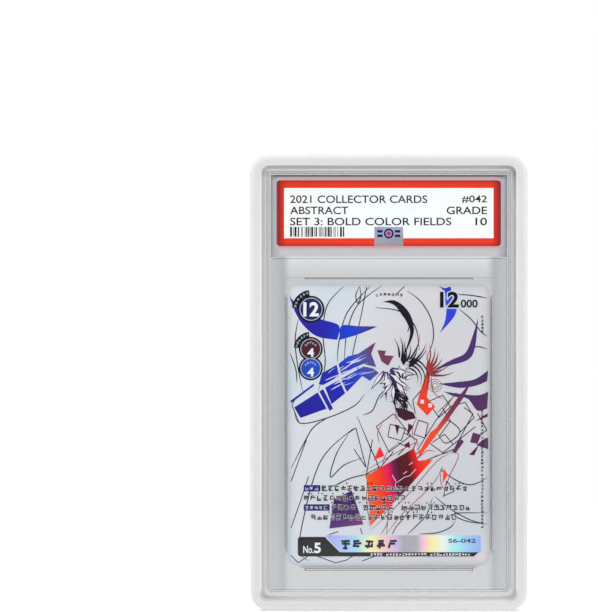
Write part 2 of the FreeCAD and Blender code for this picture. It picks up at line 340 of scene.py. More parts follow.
def rim_painted_shade(tree, rim, height):
    """Painted shade over the rim: palest at its outer edge, darkest near its inner wall, and clear at the
    slab's top.
    """
    # painted shade, in bands across the rim
    bands = [(0.0, (0.91, 0.92, 0.93, 1)), (0.44, (0.91, 0.92, 0.93, 1)), (0.54, (0.76, 0.77, 0.78, 1)),
             (0.62, (0.68, 0.69, 0.7, 1)), (0.68, (0.6, 0.61, 0.62, 1)), (0.8, (0.6, 0.61, 0.62, 1)),
             (0.9, (0.7, 0.71, 0.72, 1))]
    foot_bands = [(0.0, (0.86, 0.87, 0.88, 1)), (0.6, (0.8, 0.81, 0.82, 1)), (1.0, (0.78, 0.79, 0.8, 1))]
    off_foot = spread(tree, height, SLAB_LOW.z + RIM, SLAB_LOW.z + RIM + 1)
    edge = mix(tree, off_foot, ramp(tree, rim, foot_bands), ramp(tree, rim, bands))
    return mix(tree, spread(tree, height, SLAB_HIGH.z - 2, SLAB_HIGH.z - 1.6), edge, 1.0)


# ---------------------------------------------------------------- materials of paper, card and foil

def card_stock():
    """The card: a silvery face with faint colour in it and painted shade round its edge, a blue back with a
    darker top, and a pale core.
    """
    material, tree, shader, _ = new_material("card_stock", Roughness=0.38, Specular_IOR_Level=0.15)
    cloud = noise(tree, 38.0, 1.5, 0.4, 0.6)
    silver = ramp(tree, cloud, [(0.25, (202, 209, 216)), (0.45, (209, 213, 219)),
                                (0.58, (216, 212, 217)), (0.75, (208, 215, 218))])
    to_right = ramp(tree, along(tree, CARD.at(0, 40), CARD.at(CARD.wide, 40)),
                    [(0.0, (1.08, 1.13, 1.14, 1)), (0.3, (1.05, 1.08, 1.09, 1)), (0.6, 1.0)])
    # painted shade: the face darkens towards the card's edge
    inside = spread(tree, inwards(tree, CARD.low, CARD.high, CARD_R), 0, 3)
    rim = ramp(tree, inside, [(0.0, 0.66), (0.12, 0.8), (0.45, 0.93), (1.0, 1.0)])
    face = times(tree, times(tree, silver, to_right), rim)
    blues = [(0.0, (12, 12, 78)), (0.35, (22, 24, 118)), (0.7, (70, 80, 168)), (1.0, (150, 152, 200))]
    back = ramp(tree, along(tree, CARD_BACK.at(40, 0), CARD_BACK.at(8, CARD.tall)), blues)
    depth = axes(tree)["Y"]
    coating = 0.9 * CARD.high.y
    core = mix(tree, maths(tree, "LESS_THAN", depth, -coating), (196, 197, 200), face)
    both = mix(tree, maths(tree, "GREATER_THAN", depth, coating), core, back)
    tree.links.new(both, shader.inputs["Base Color"])
    bump(tree, shader, noise(tree, 5200.0, 2.0), 0.05, 0.01)
    return material


def paper(name, stops, start, end, roughness=0.5, grain=0.05, finish=None):
    """Coated paper or print whose colour runs from one place to another. A finish changes it further."""
    material, tree, shader, _ = new_material(name, Roughness=roughness, Specular_IOR_Level=0.05)
    base = ramp(tree, along(tree, start, end), stops) if len(stops) > 1 else stops[0][1]
    fleck = ramp(tree, noise(tree, 3800.0, 2.0), [(0.3, 1 - grain), (0.7, 1.0)])
    base = times(tree, base, fleck)
    if finish:
        base = finish(tree, base)
    tree.links.new(base, shader.inputs["Base Color"])
    bump(tree, shader, noise(tree, 2400.0, 3.0), 0.12, 0.01)
    return material


def ink(name, colour, roughness=0.4, grain=0.08):
    """Print of one colour."""
    return paper(name + "_ink", [(0.0, colour)], (0, 0), (1, 0), roughness, grain)


def label_edge_shade(tree, base):
    """Painted shade on the front label: darker side bands and a darker rim."""
    inside = spread(tree, inwards(tree, LABEL.low, LABEL.high, LABEL_R), 0, 1.2)
    # painted shade round the label's edge
    rim = ramp(tree, inside, [(0.0, (0.4, 0.6, 0.8, 1)), (0.4, 0.8), (1.0, 1.0)])
    across = maths(tree, "ABSOLUTE", axes(tree)["X"])
    beside = spread(tree, across, LABEL.wide / 2 - 2.2, LABEL.wide / 2 - 1.4)
    # painted shade in the side bands
    return times(tree, times(tree, base, rim), ramp(tree, beside, [(0.0, 1.0), (1.0, 0.76)]))


def front_leaf():
    """The front label: red, with painted shade in its side bands and round its edge."""
    stops = [(0.0, (238, 58, 34)), (0.5, (244, 60, 38)), (1.0, (238, 60, 40))]
    return paper("label_red", stops, LABEL.at(0, 0), LABEL.at(LABEL.wide, 20), 0.42, 0.04, label_edge_shade)


def wine_front(tree, base):
    """The rear label's hidden side."""
    return mix(tree, maths(tree, "LESS_THAN", axes(tree)["Y"], 0.9 * LEAF.high.y), base, (150, 62, 84))


def rear_leaf():
    """The rear label: dark aubergine that turns nearly black at its foot, and wine red on its hidden side."""
    stops = [(0.0, (74, 56, 86)), (0.6, (58, 42, 68)), (1.0, (18, 14, 24))]
    return paper("label_purple", stops, LEAF.at(30, 0), LEAF.at(34, 17), 0.42, 0.05, wine_front)


def foil(name, stops, start, end, metallic=0.25, roughness=0.3):
    """Stamped foil: bands of colour that waver slightly, a painted sheen, over a fine brushed grain."""
    material, tree, shader, _ = new_material(name, Metallic=metallic, Roughness=roughness)
    waver = spread(tree, noise(tree, 220.0, 2.0), 0, 1, -0.03, 0.03)
    place = maths(tree, "ADD", along(tree, start, end), waver)
    # painted sheen: the foil's colour bands
    tree.links.new(ramp(tree, place, stops), shader.inputs["Base Color"])
    brushed = node(tree, "Mapping", {"Vector": position(tree), "Scale": (9000, 9000, 400)})
    grain = node(tree, "TexNoise", {"Vector": brushed.outputs["Vector"], "Scale": 1.0, "Detail": 2.0})
    bump(tree, shader, grain.outputs["Fac"], 0.2, 0.005)
    return material


def rainbow_foil():
    stops = [(0.0, (176, 172, 250)), (0.1, (176, 196, 250)), (0.2, (170, 226, 250)), (0.29, (246, 248, 190)),
             (0.38, (252, 205, 190)), (0.45, (214, 182, 232)), (0.5, (172, 172, 180)),
             (0.585, (176, 176, 182)), (0.63, (252, 196, 224)), (0.68, (252, 244, 160)),
             (0.75, (244, 250, 244)), (0.84, (166, 240, 250)), (0.92, (160, 208, 250)),
             (1.0, (150, 178, 244))]
    return foil("rainbow_foil", stops, STRIP.at(0, 0), STRIP.at(STRIP.wide, 0), 0.1, 0.35)


def silver_foil():
    stops = [(0.0, (160, 166, 204)), (0.3, (168, 180, 210)), (0.6, (178, 178, 187)), (1.0, (162, 166, 176))]
    return foil("silver_foil", stops, SEAL.at(0, 0), SEAL.at(2, SEAL.tall))


def shield_foil():
    stops = [(0.0, (150, 156, 190)), (0.35, (186, 206, 222)), (0.6, (206, 196, 222)), (1.0, (168, 178, 200))]
    return foil("shield_foil", stops, SHIELD.at(0, SHIELD.tall), SHIELD.at(SHIELD.wide, 0))


# ---------------------------------------------------------------- outlines, as lists of (x, z) in millimetres

def smooth(points, steps=6):
    """Points on a smooth curve through the given ones."""
    ends = [points[0], *points, points[-1]]
    curve = []
    for near in zip(ends, ends[1:], ends[2:], ends[3:]):
        for step in range(steps):
            t = step / steps
            curve.append(tuple(
                0.5 * (2 * b + (c - a) * t + (2 * a - 5 * b + 4 * c - d) * t * t
                       + (3 * b - a - 3 * c + d) * t ** 3)
                for a, b, c, d in zip(*near)))
    return curve + [points[-1]]


def stroke(points, width, start=1.0, end=1.0, fade=4):
    """The outline of a line whose width goes from a share at its start, to the whole, to a share at its end.

    The last part, one in fade of the length, is where it narrows to its end.
    """
    left, right = [], []
    last = len(points) - 1
    for i, (x, z) in enumerate(points):
        before, after = points[max(i - 1, 0)], points[min(i + 1, last)]
        across, up = after[0] - before[0], after[1] - before[1]
        length = math.hypot(across, up) or 1.0
        share = i / last
        taper = min(1.0, start + (1 - start) * share * 4, end + (1 - end) * (1 - share) * fade)
        half = width / 2 * taper
        left.append((x - up / length * half, z + across / length * half))
        right.append((x + up / length * half, z - across / length * half))
    return left + right[::-1]


def arc(centre, radius, start, end, count):
    """Points along a circle, between two angles in degrees from +X towards +Z."""
    turns = [math.radians(start + (end - start) * i / count) for i in range(count + 1)]
    return [(centre[0] + radius * math.cos(t), centre[1] + radius * math.sin(t)) for t in turns]


def disc(centre, radius, count=56):
    return arc(centre, radius, 0, 360, count)[:-1]


def band(centre, inner, outer, start, end, count=24):
    """Part of a ring, between two angles in degrees."""
    return arc(centre, outer, start, end, count) + arc(centre, inner, start, end, count)[::-1]


def circle_line(centre, inner, outer, count=32):
    """A whole ring, in two halves that nearly meet."""
    return [band(centre, inner, outer, 0, 179.5, count), band(centre, inner, outer, 180, 359.5, count)]


def rectangle(left, right, low, high, radius=0.0, count=6):
    """A rectangle, with rounded corners if a radius is given."""
    if radius <= 0:
        return [(left, low), (right, low), (right, high), (left, high)]
    corners = [(right - radius, high - radius, 0), (left + radius, high - radius, 90),
               (left + radius, low + radius, 180), (right - radius, low + radius, 270)]
    outline = []
    for x, z, turn in corners:
        outline += arc((x, z), radius, turn, turn + 90, count)
    return outline


def frame_bars(left, right, low, high, width):
    """Four bars that make a rectangular line frame."""
    return [rectangle(left, right, high - width, high), rectangle(left, right, low, low + width),
            rectangle(left, left + width, low + width, high - width),
            rectangle(right - width, right, low + width, high - width)]


# ---------------------------------------------------------------- print as thin plates

def place_piece(name, bm, material):
    """Links a mesh as a piece on the slab's body."""
    mesh = bpy.data.meshes.new(name)
    bmesh.ops.recalc_face_normals(bm, faces=bm.faces)
    bm.to_mesh(mesh)
    bm.free()
    piece = bpy.data.objects.new(name, mesh)
    bpy.context.scene.collection.objects.link(piece)
    mesh.materials.append(material)
    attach(piece, "slab")


def layer_depths(face, level, lift=0.0):
    """The Y of a layer's back and of its front."""
    back = face.surface + face.side * (INK_STEP - INK_T + level * INK_STEP + lift)
    return back, back + face.side * INK_T


def plates(name, outlines, face, level, material):
    """Closed flat plates on a face, one for each outline."""
    bm = bmesh.new()
    for index, outline in enumerate(outlines):
        rings = [[bm.verts.new((x * MM, depth * MM, z * MM)) for x, z in outline]
                 for depth in layer_depths(face, level, index % INK_LIFTS * INK_LIFT)]
        bm.faces.new(rings[0])
        bm.faces.new(rings[1][::-1])
        for i in range(len(outline)):
            bm.faces.new((rings[0][i - 1], rings[1][i - 1], rings[1][i], rings[0][i]))
    place_piece(name, bm, material)


def word_mesh(text, bold):
    """A word as a solid mesh, one unit thick, with its size in font units."""
    curve = bpy.data.curves.new("word", "FONT")
    curve.body = text
    curve.size = 1.0
    curve.resolution_u = 4
    curve.offset = bold
    curve.extrude = 0.5
    holder = bpy.data.objects.new("word", curve)
    bpy.context.scene.collection.objects.link(holder)
    bpy.context.view_layer.update()
    mesh = bpy.data.meshes.new_from_object(holder.evaluated_get(bpy.context.evaluated_depsgraph_get()))
    bpy.data.objects.remove(holder)
    bpy.data.curves.remove(curve)
    return mesh


def lettering(name, words, face, level, material):
    """Words on a front face, as one piece. Each is (text, left x, right x, base z, top z, boldness)."""
    back, front = layer_depths(face, level)
    bm = bmesh.new()
    for text, left, right, base, top, bold in words:
        mesh = word_mesh(text, bold)
        xs = [v.co.x for v in mesh.vertices]
        ys = [v.co.y for v in mesh.vertices]
        wide = (right - left) / (max(xs) - min(xs))
        tall = (top - base) / (max(ys) - min(ys))
        for v in mesh.vertices:
            x = left + (v.co.x - min(xs)) * wide
            y = back + (0.5 - v.co.z) * (front - back)
            z = base + (v.co.y - min(ys)) * tall
            v.co = Vector((x, y, z)) * MM
        bm.from_mesh(mesh)
        bpy.data.meshes.remove(mesh)
    bmesh.ops.remove_doubles(bm, verts=bm.verts, dist=1e-8)
    place_piece(name, bm, material)


def nonsense_glyph(rng, left, low, size):
    """The centre lines of a mark like a written character that means nothing: a few strokes in a square."""
    marks = []
    for row in rng.sample([0.12, 0.36, 0.6, 0.86], rng.choice([2, 2, 3])):
        start, end = rng.uniform(0, 0.25), rng.uniform(0.7, 1.0)
        tilt = rng.uniform(-0.06, 0.06)
        marks.append([(start, row), (end, row + tilt)])
    for column in rng.sample([0.2, 0.5, 0.8], rng.choice([1, 2, 2])):
        start, end = rng.uniform(0, 0.3), rng.uniform(0.65, 1.0)
        bend = rng.uniform(-0.22, 0.22)
        marks.append([(column, end), (column + bend * 0.3, 0.5), (column + bend, start)])
    return [[(left + u * size, low + v * size) for u, v in mark] for mark in marks]


def glyph_row(rng, left, right, low, size, pitch, gap_share=0.06):
    """A row of nonsense glyphs, as centre lines, with a gap now and then."""
    lines = []
    at = left
    while at + size <= right:
        if rng.random() > gap_share:
            lines += nonsense_glyph(rng, at, low, size * rng.uniform(0.86, 1.0))
        at += pitch
    return lines


def strokes(lines, width):
    return [stroke(line, width) for line in lines]


# ---------------------------------------------------------------- the front label

def front_label_print():
    """A white panel in the red border, with three lines of generic words and a barcode that codes nothing."""
    side_band, top_band, bottom_band = 1.75, 2.35, 2.45
    left, top = LABEL.at(side_band, top_band)
    right, low = LABEL.at(LABEL.wide - side_band, LABEL.tall - bottom_band)
    whites = [(0.0, (254, 254, 254)), (0.5, (247, 254, 255)), (1.0, (254, 254, 254))]
    white = paper("label_white", whites, (left, low), (right, top), 0.42, 0.012)
    plates("front_label_panel", [rectangle(left, right, low, top)], LABEL, 0, white)

    left, right = LABEL.low.x + 3.65, LABEL.high.x - 3.8
    cap, bold, first_line, line_pitch = 2.42, 0.011, 7.08, 3.49
    rows = [("2021 COLLECTOR CARDS", 42.9, "#042", 7.9), ("ABSTRACT", 18.2, "GRADE", 12.6),
            ("SET 3: BOLD COLOR FIELDS", 50.4, "10", 3.6)]
    words = []
    for row, (text, width, short, short_width) in enumerate(rows):
        base = LABEL.high.z - first_line - line_pitch * row
        words += [(text, left, left + width, base, base + cap, bold),
                  (short, right - short_width, right, base, base + cap, bold)]
    lettering("front_label_text", words, LABEL, 1, ink("label_text", (36, 38, 42)))
    foot, bars_wide, bars_tall = LABEL.high.z - 17.6, 16.9, 3.1
    bars = barcode(left, left + bars_wide, foot, foot + bars_tall)
    plates("front_label_barcode", bars, LABEL, 1, ink("barcode", (20, 20, 22)))


def barcode(left, right, low, high):
    """Bars of three widths in a made-up order."""
    rng = random.Random(41)
    unit = 0.2
    bars = []
    at = left
    while at < right - 4 * unit:
        width = unit * rng.choice([1, 1, 2, 3])
        bars.append(rectangle(at, at + width, low, high))
        at += width + unit * rng.choice([1, 1, 2, 3])
    bars.append(rectangle(right - 2 * unit, right, low, high))
    return bars


def seal_print():
    """A generic mark on the front seal: a blue ring with a red diamond in it, between short bars."""
    centre = SEAL.at(SEAL.wide / 2, 2.1)
    bars = []
    for x0, x1 in ((-3.6, -1.9), (1.9, 3.6)):
        for z0, z1 in ((0.3, 1.1), (-1.1, -0.3)):
            bars.append(rectangle(centre[0] + x0, centre[0] + x1, centre[1] + z0, centre[1] + z1))
    diamond = arc(centre, 0.85, 0, 270, 3)
    blue = ink("seal_blue", (26, 16, 120), 0.35)
    plates("front_seal_mark", bars + circle_line(centre, 1.0, 1.55), SEAL, 0, blue)
    plates("front_seal_diamond", [diamond], SEAL, 0, ink("seal_red", (214, 52, 78), 0.35))


# ---------------------------------------------------------------- the rear label

def rear_label_print():
    """A dark leaf with a pale strip along its foot, slanted bars, a square code and tiny print."""
    white = ink("leaf_white", (238, 238, 240), 0.45, 0.02)
    right, low = LEAF.at(0, LEAF.tall)
    left, high = LEAF.at(LEAF.wide, LEAF.tall - 3.8)
    plates("rear_label_strip", [rectangle(left, right, low, high)], LEAF, 0, white)
    code_marks(white)

    silver = foil("leaf_silver_ink", [(0.0, (196, 198, 206)), (1.0, (228, 230, 234))],
                  LEAF.at(4, 12), LEAF.at(24, 5))
    emblem = []
    for i in range(4):
        u = 6.6 + 4.1 * i
        emblem.append(LEAF.points(((u, 11.6), (u + 2.6, 11.6), (u + 4.6, 5.2), (u + 2.0, 5.2))))
    plates("rear_label_emblem", emblem, LEAF, 0, silver)
    rng = random.Random(5)
    left, low = LEAF.at(LEAF.wide - 5, LEAF.tall - 2.7)
    marks = strokes(glyph_row(rng, left, left + 26, low, 0.75, 1.0), 0.13)
    plates("rear_label_small_print", marks, LEAF, 1, ink("leaf_dark", (60, 58, 66)))


def code_marks(white):
    """A square of seeded modules with three finder squares: it codes nothing."""
    size, margin, count, finder = 13.3, 1.1, 21, 7
    corner = LEAF.at(LEAF.wide - 5.1 - size, 1.3)
    far = (corner[0] - size, corner[1] - size)
    plates("rear_label_code_panel", [rectangle(far[0], corner[0], far[1], corner[1], 0.8)], LEAF, 0, white)
    rng = random.Random(12)
    step = (size - 2 * margin) / count

    def cell(column, row, columns=1, rows=1):
        x, z = corner[0] - margin - column * step, corner[1] - margin - row * step
        return rectangle(x - columns * step, x, z - rows * step, z)

    def in_finder(column, row):
        beside = column <= finder or column >= count - finder - 1
        return (beside and row <= finder) or (column <= finder and row >= count - finder - 1)

    marks = []
    for column, row in ((0, 0), (count - finder, 0), (0, count - finder)):
        marks += [cell(column, row, finder), cell(column, row + finder - 1, finder),
                  cell(column, row + 1, 1, finder - 2), cell(column + finder - 1, row + 1, 1, finder - 2),
                  cell(column + 2, row + 2, 3, 3)]
    for row in range(count):
        for column in range(count):
            if not in_finder(column, row) and rng.random() < 0.46:
                marks.append(cell(column, row))
    plates("rear_label_code", marks, LEAF, 1, ink("code", (24, 22, 30)))


def shield_print():
    """A generic mark on the shield: a blue star in a red ring."""
    centre = SHIELD.at(SHIELD.wide / 2, 5.2)
    tips, notches = arc(centre, 2.5, 90, 378, 4), arc(centre, 1.05, 126, 414, 4)
    star = [point for pair in zip(tips, notches) for point in pair]
    plates("rear_shield_star", [star], SHIELD, 0, ink("shield_blue", (40, 36, 140), 0.35))
    ring = circle_line(centre, 3.1, 3.6)
    plates("rear_shield_ring", ring, SHIELD, 0, ink("shield_red", (206, 60, 84), 0.35))


# ---------------------------------------------------------------- the card's back

def card_back_print():
    """A line frame and a plain rosette of rings and rays."""
    inset, line = 2.0, 0.22
    pale = ink("back_pale", (176, 190, 226), 0.4)
    bars = frame_bars(CARD.low.x + inset, CARD.high.x - inset, CARD.low.z + inset, CARD.high.z - inset, line)
    plates("card_back_frame", bars, CARD_BACK, 0, pale)
    centre = CARD_BACK.at(CARD.wide / 2, CARD.tall / 2)
    rings = []
    for radius, width in ((19.0, 1.5), (15.2, 0.5), (13.6, 0.25)):
        rings += circle_line(centre, radius - width, radius, 60)
    plates("card_back_rings", rings, CARD_BACK, 0, pale)
    rays = []
    half = math.radians(5.5)
    for i in range(12):
        turn = math.radians(30 * i + 15)
        tip = 11.6 if i % 2 else 8.6
        rays.append([(centre[0] + r * math.cos(t), centre[1] + r * math.sin(t))
                     for r, t in ((3.0, turn - half), (tip, turn), (3.0, turn + half), (2.0, turn))])
    plates("card_back_rays", rays, CARD_BACK, 0, ink("back_white", (224, 228, 240), 0.4))


# ---------------------------------------------------------------- the card's face: abstract art

def card_shape(*points):
    """A straight-sided outline from (u, v) points of the card."""
    return CARD.points(points)


def card_ribbon(outer, inner, steps=7):
    """A shape between two smooth edges that meet at their ends."""
    return CARD.points(smooth(outer, steps) + smooth(inner, steps)[1:-1])


def off(centre, away, turn):
    """The point of the card at a distance from another one, at an angle in degrees."""
    return centre[0] + away * math.cos(math.radians(turn)), centre[1] - away * math.sin(math.radians(turn))


def fan(rng, turns, count):
    """Angles between two, in even steps that are each a little off."""
    for i in range(count):
        yield turns[0] + (turns[1] - turns[0]) * (i + rng.uniform(0.2, 0.8)) / count


def crystal(base, turn, length, width):
    """A long crystal from a base point, as its shaded outline and the facet in light."""
    def at(distance, offset):
        return off(off(base, distance, turn), offset * width, turn - 90)

    shoulder = 0.38 * length
    shade = card_shape(at(0, -0.3), at(shoulder, -0.5), at(length, 0), at(shoulder, 0.5), at(0, 0.3))
    light = card_shape(at(0.04 * length, 0.1), at(shoulder, 0.4), at(0.86 * length, 0.02),
                       at(shoulder, -0.24))
    return shade, light


def thorns(rng, centre, turns, count, near, lengths, widths, curl=0.0):
    """Curved spikes that fan out from round a centre, between two angles in degrees."""
    made = []
    for turn in fan(rng, turns, count):
        reach, length = near * rng.uniform(0.6, 1.2), rng.uniform(*lengths)
        points = [off(centre, reach + length * share, turn + curl * share * share)
                  for share in (0.0, 0.3, 0.65, 1.0)]
        made.append(stroke(smooth(CARD.points(points), 4), rng.uniform(*widths), 0.5, 0.05, 1.15))
    return made


def hoops(centre, radii, turns, width):
    """Nested arcs that are thick in the middle and sharp at both ends."""
    middle = CARD.at(*centre)
    return [stroke(arc(middle, radius, turns[0] + 3 * i, turns[1] - 4 * i, 22), width, 0.1, 0.05, 1.4)
            for i, radius in enumerate(radii)]


def crystals(rng, centre, turns, count, near, lengths, widths):
    """Crystals that fan out from round a centre, between two angles in degrees: shades and lights."""
    made = []
    for turn in fan(rng, turns, count):
        base = off(centre, near * rng.uniform(0.4, 1.0), turn)
        made.append(crystal(base, turn + rng.uniform(-12, 12), rng.uniform(*lengths), rng.uniform(*widths)))
    return [shade for shade, _ in made], [light for _, light in made]


def sweeps(rng, start, end, count, width, weights):
    """Thin lines that run along a beam, each over part of its length."""
    across, down = end[0] - start[0], end[1] - start[1]
    length = math.hypot(across, down)
    lines = []
    for _ in range(count):
        first = rng.uniform(0.0, 0.72)
        last = first + rng.uniform(0.12, 0.3)
        offset, drift = rng.uniform(-0.5, 0.5) * width, rng.uniform(-0.7, 0.7)
        places = ((first, offset), ((first + last) / 2, offset + 0.7 * drift), (last, offset + drift))
        points = [(start[0] + across * share - down / length * side,
                   start[1] + down * share + across / length * side) for share, side in places]
        lines.append(stroke(smooth(CARD.points(points), 4), rng.uniform(*weights), 0.3, 0.1, 2))
    return lines


def art_inks():
    """Inks whose colour changes across the card: where a run starts and ends, and its stops."""
    runs = {
        "crescent": ((0, 6), (28, 13), [(0.0, (50, 38, 158)), (0.45, (34, 36, 172)), (0.72, (26, 66, 214)),
                                        (1.0, (66, 60, 110))]),
        "slabs": ((3, 40), (29, 23), [(0.0, (34, 32, 156)), (0.5, (34, 42, 182)), (0.72, (36, 72, 204)),
                                      (0.86, (78, 84, 160)), (1.0, (118, 62, 88))]),
        "streak": ((49, 0), (49, 15), [(0.0, (36, 38, 160)), (0.3, (44, 78, 226)), (0.6, (44, 66, 224)),
                                       (0.85, (52, 74, 206)), (1.0, (60, 50, 100))]),
        "violet": ((42, 20), (63, 42), [(0.0, (96, 46, 90)), (0.3, (76, 50, 120)), (0.7, (78, 48, 102)),
                                        (1.0, (98, 54, 92))]),
        "red": ((24, 61), (45, 57), [(0.0, (252, 96, 40)), (0.26, (250, 52, 36)), (0.36, (228, 26, 92)),
                                     (0.44, (122, 26, 84)), (0.52, (84, 22, 36)), (0.68, (98, 24, 34)),
                                     (0.8, (236, 34, 38)), (1.0, (255, 74, 40))]),
        "column": ((44, 26), (42, 40), [(0.0, (128, 52, 62)), (0.3, (222, 70, 48)), (1.0, (250, 66, 44))]),
        "blade": ((57, 30), (42, 52), [(0.0, (84, 46, 100)), (0.45, (128, 52, 76)), (0.75, (244, 80, 52)),
                                       (1.0, (254, 76, 48))]),
        "plum": ((14, 66), (20, 77), [(0.0, (64, 42, 104)), (0.7, (84, 44, 116)), (1.0, (130, 56, 116))]),
        "spark": ((42, 26), (52, 24), [(0.0, (196, 64, 52)), (0.5, (110, 44, 66)), (1.0, (66, 40, 78))]),
        "dark": ((30, 20), (44, 44), [(0.0, (30, 24, 44)), (0.55, (26, 22, 38)), (1.0, (92, 34, 50))]),
        "pale": ((30, 24), (44, 44), [(0.0, (226, 226, 240)), (0.5, (238, 226, 236)),
                                      (1.0, (238, 214, 220))]),
    }
    inks = {}
    for name, (start, end, stops) in runs.items():
        inks[name] = paper("art_" + name + "_ink", stops, CARD.at(*start), CARD.at(*end), 0.36)
    return inks


def art_crescent():
    """A crescent at the top left, whose pale gap shows the card."""
    return [
        card_ribbon([(0.4, 3.8), (2.5, 9.4), (5.4, 13.6), (9.4, 16.5), (15.4, 17.5)],
                    [(15.4, 17.5), (15.9, 13.0), (10.0, 10.9), (4.4, 8.0), (0.4, 3.8)]),
        card_ribbon([(16.2, 17.5), (21.6, 15.9), (28.0, 13.3)],
                    [(28.0, 13.3), (22.0, 13.2), (16.7, 13.1), (16.2, 17.5)]),
    ]


def art_slabs():
    """A beam of slabs that breaks up into shards at its far end, and a rail beside it."""
    return [
        card_shape((1.9, 38.6), (9.3, 33.9), (12.1, 39.0), (3.9, 41.9)),
        card_shape((9.8, 33.6), (11.0, 32.9), (14.1, 39.0), (13.0, 39.7)),
        card_shape((11.6, 32.4), (16.0, 30.0), (17.9, 34.2), (13.6, 37.6)),
        card_shape((16.5, 29.7), (23.6, 25.8), (26.6, 26.4), (28.4, 27.8), (25.6, 30.3), (23.2, 28.8),
                   (18.4, 33.8)),
        card_shape((9.6, 31.4), (10.6, 27.9), (15.2, 25.3), (16.1, 28.8), (11.0, 31.6)),
        card_shape((15.8, 25.0), (18.8, 22.6), (22.0, 21.8), (27.4, 18.2), (26.0, 21.8), (27.6, 26.0),
                   (23.4, 25.0), (16.6, 28.5)),
        card_shape((0.7, 36.6), (8.0, 31.2), (8.2, 31.8), (0.9, 37.3)),
        card_shape((27.9, 20.7), (30.6, 20.9), (30.2, 22.3), (33.1, 22.5), (31.3, 25.6), (29.2, 24.2)),
    ]


def art_streak():
    """A bright streak that falls behind the number at the top right."""
    return [card_ribbon(
        [(46.9, 0.5), (49.0, 1.3), (50.7, 0.9), (51.2, 2.6), (52.8, 6.4), (51.8, 10.4), (47.3, 15.5)],
        [(47.3, 15.5), (48.9, 12.2), (49.5, 8.6), (49.2, 5.6), (49.0, 2.6), (46.9, 0.5)])]


def art_violet():
    """Ribbons that sweep from the middle to the right edge, and a few small pieces."""
    edge = CARD.wide - 0.4
    return [
        card_ribbon([(45.4, 26.9), (50.6, 25.5), (56.4, 23.6), (58.5, 19.6), (59.5, 10.4)],
                    [(59.5, 10.4), (57.6, 16.6), (55.4, 21.6), (51.0, 23.8), (45.4, 26.9)]),
        card_ribbon([(47.0, 31.2), (53.4, 30.6), (58.4, 29.8), (edge, 27.0)],
                    [(edge, 30.2), (58.8, 31.8), (53.4, 32.5), (47.0, 31.2)]),
        card_ribbon([(48.6, 33.6), (54.0, 34.4), (59.4, 34.8), (edge, 33.7)],
                    [(edge, 38.8), (59.2, 39.6), (56.2, 35.9), (52.0, 35.2), (48.6, 33.6)]),
        card_shape((54.0, 48.4), (55.0, 49.3), (52.5, 52.8), (51.2, 52.4)),
        card_shape((57.8, 46.4), (60.4, 47.2), (59.2, 50.0), (56.9, 49.5)),
        card_shape((58.8, 50.4), (61.4, 48.4), (edge, 48.0), (edge, 51.7)),
    ]


def art_red():
    """The large block low in the middle, and small ones beside it."""
    return [
        card_shape((24.4, 60.0), (39.4, 51.3), (40.7, 55.3), (45.4, 54.8), (36.2, 65.2), (25.8, 75.6),
                   (24.8, 64.4)),
        card_shape((28.7, 50.7), (30.1, 53.8), (26.7, 55.2)),
        card_shape((48.6, 57.6), (50.0, 59.6), (48.3, 62.4)),
    ]


def art_column():
    """A bent red column on the right of the burst, with two square gaps."""
    wide, tall = 1.1, 1.2
    gaps = [card_shape((u, v + tall), (u + wide, v + tall), (u + wide, v), (u, v))
            for u, v in ((41.4, 36.2), (43.9, 37.4))]
    shape = card_shape((43.7, 26.2), (44.4, 29.4), (43.4, 35.4), (46.0, 38.4), (43.5, 41.2), (40.2, 37.7),
                       (41.2, 34.0))
    return [shape], gaps


def art_blade():
    """A long shard that falls from the right edge to the block."""
    return [card_shape((57.5, 30.2), (55.0, 35.4), (49.5, 43.2), (44.4, 49.8), (40.9, 54.4), (40.9, 52.6),
                       (44.5, 46.4), (46.4, 45.0), (53.0, 35.6))]


def art_dark():
    """A sweep over the burst, and small dark blocks below and beside it."""
    return [
        card_ribbon(
            [(29.6, 5.6), (33.0, 5.1), (35.8, 6.6), (38.0, 9.2), (39.2, 12.6), (39.0, 16.4), (35.6, 24.0)],
            [(35.6, 24.0), (38.1, 16.0), (37.3, 12.4), (35.4, 9.4), (33.6, 7.0), (31.8, 6.0), (29.6, 5.6)]),
        card_shape((33.7, 38.7), (36.0, 39.0), (39.2, 40.2), (40.0, 42.0), (36.6, 42.8), (34.4, 41.4)),
        card_shape((33.4, 43.9), (34.9, 44.3), (34.1, 47.4)),
        card_shape((37.6, 43.6), (39.2, 44.4), (37.2, 47.6)),
        card_shape((36.2, 50.4), (37.9, 49.2), (38.2, 51.4)),
        card_shape((58.4, 43.0), (62.4, 40.4), (62.4, 41.5)),
        card_shape((56.6, 53.4), (59.8, 50.2), (58.2, 53.6)),
    ]


